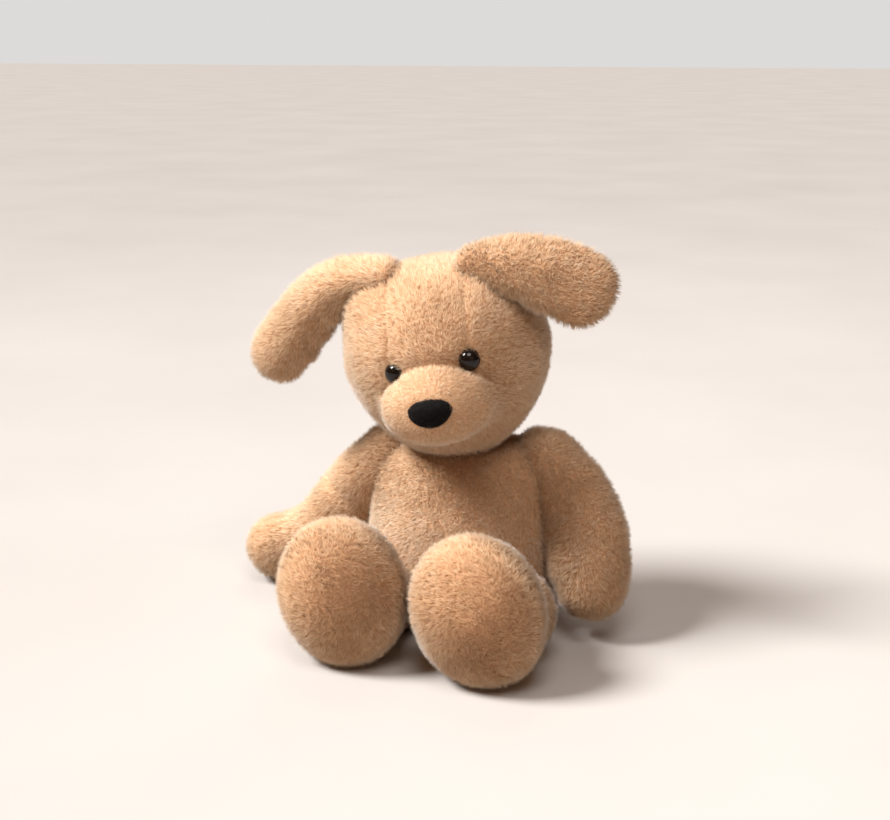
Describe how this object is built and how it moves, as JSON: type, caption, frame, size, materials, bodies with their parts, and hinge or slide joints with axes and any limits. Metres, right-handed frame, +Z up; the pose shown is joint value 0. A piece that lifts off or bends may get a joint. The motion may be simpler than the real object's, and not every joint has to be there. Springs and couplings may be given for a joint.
{
  "type": "plush toy dog",
  "caption": "Seated plush puppy with floppy ears, large feet, sewn fabric panels over stuffing, and limbs, ears, head and tail that turn.",
  "frame": {"origin": "middle of the flat seat, on the surface the dog sits on", "axes": "+Z up from the seat to the crown, the dog faces -Y, its left side is +X"},
  "size_m": [0.2597, 0.2072, 0.2476],
  "materials": {
    "fur": "short dense plush pile",
    "muzzle_fur": "shorter paler plush pile",
    "wadding": "loose white fibre",
    "pellets": "small pellets in a pouch",
    "eye_plastic": "polished",
    "nose_flock": "flocked",
    "washer_plastic": "moulded",
    "label_tape": "satin tape"
  },
  "bodies": {
    "torso": {"torso_front_panel": "fur", "torso_back_left_panel": "fur", "torso_back_right_panel": "fur", "torso_stuffing": "wadding", "pellet_pouch": "pellets", "care_label": "label_tape"},
    "neck": {"neck_wad": "wadding"},
    "head": {"head_left_panel": "fur", "head_right_panel": "fur", "forehead_gusset": "fur", "muzzle_panel": "muzzle_fur", "head_stuffing": "wadding", "left_eye": "eye_plastic", "left_eye_washer": "washer_plastic", "right_eye": "eye_plastic", "right_eye_washer": "washer_plastic", "nose": "nose_flock", "nose_washer": "washer_plastic"},
    "left_ear": {"left_ear_front_panel": "fur", "left_ear_back_panel": "fur", "left_ear_wadding": "wadding"},
    "right_ear": {"right_ear_front_panel": "fur", "right_ear_back_panel": "fur", "right_ear_wadding": "wadding"},
    "left_arm": {"left_arm_front_panel": "fur", "left_arm_back_panel": "fur", "left_arm_stuffing": "wadding"},
    "right_arm": {"right_arm_front_panel": "fur", "right_arm_back_panel": "fur", "right_arm_stuffing": "wadding"},
    "left_leg": {"left_leg_outer_panel": "fur", "left_leg_inner_panel": "fur", "left_sole": "fur", "left_leg_stuffing": "wadding"},
    "right_leg": {"right_leg_outer_panel": "fur", "right_leg_inner_panel": "fur", "right_sole": "fur", "right_leg_stuffing": "wadding"},
    "tail": {"tail_left_panel": "fur", "tail_right_panel": "fur", "tail_stuffing": "wadding"}
  },
  "joints": [
    {"name": "neck_turn", "type": "hinge", "parent": "torso", "child": "neck", "pos_m": [0, 0.004, 0.118], "axis": [0, 0, 1], "range_deg": [-35, 35]},
    {"name": "head_nod", "type": "hinge", "parent": "neck", "child": "head", "pos_m": [0, 0.004, 0.118], "axis": [0.9727, 0.1541, 0.1736], "range_deg": [-18, 6]},
    {"name": "left_ear_lift", "type": "hinge", "parent": "head", "child": "left_ear", "pos_m": [0.00969, -0.02264, 0.23136], "axis": [0.2086, -0.9082, -0.3628], "range_deg": [-5, 45]},
    {"name": "right_ear_lift", "type": "hinge", "parent": "head", "child": "right_ear", "pos_m": [-0.03895, -0.03035, 0.22267], "axis": [-0.2086, 0.9082, 0.3628], "range_deg": [-5, 45]},
    {"name": "left_arm_lift", "type": "hinge", "parent": "torso", "child": "left_arm", "pos_m": [0.048, 0.006, 0.108], "axis": [-0.5, -0.866, 0], "range_deg": [0, 65]},
    {"name": "right_arm_lift", "type": "hinge", "parent": "torso", "child": "right_arm", "pos_m": [-0.049, 0.006, 0.101], "axis": [-0.5, 0.866, 0], "range_deg": [0, 65]},
    {"name": "left_leg_swing", "type": "hinge", "parent": "torso", "child": "left_leg", "pos_m": [0.0315, -0.019, 0.024], "axis": [1, 0, 0], "range_deg": [-15, 75]},
    {"name": "right_leg_swing", "type": "hinge", "parent": "torso", "child": "right_leg", "pos_m": [-0.0315, -0.019, 0.024], "axis": [1, 0, 0], "range_deg": [-15, 75]},
    {"name": "tail_wag", "type": "hinge", "parent": "torso", "child": "tail", "pos_m": [0, 0.049, 0.022], "axis": [0, 0, 1], "range_deg": [-25, 25]}
  ]
}
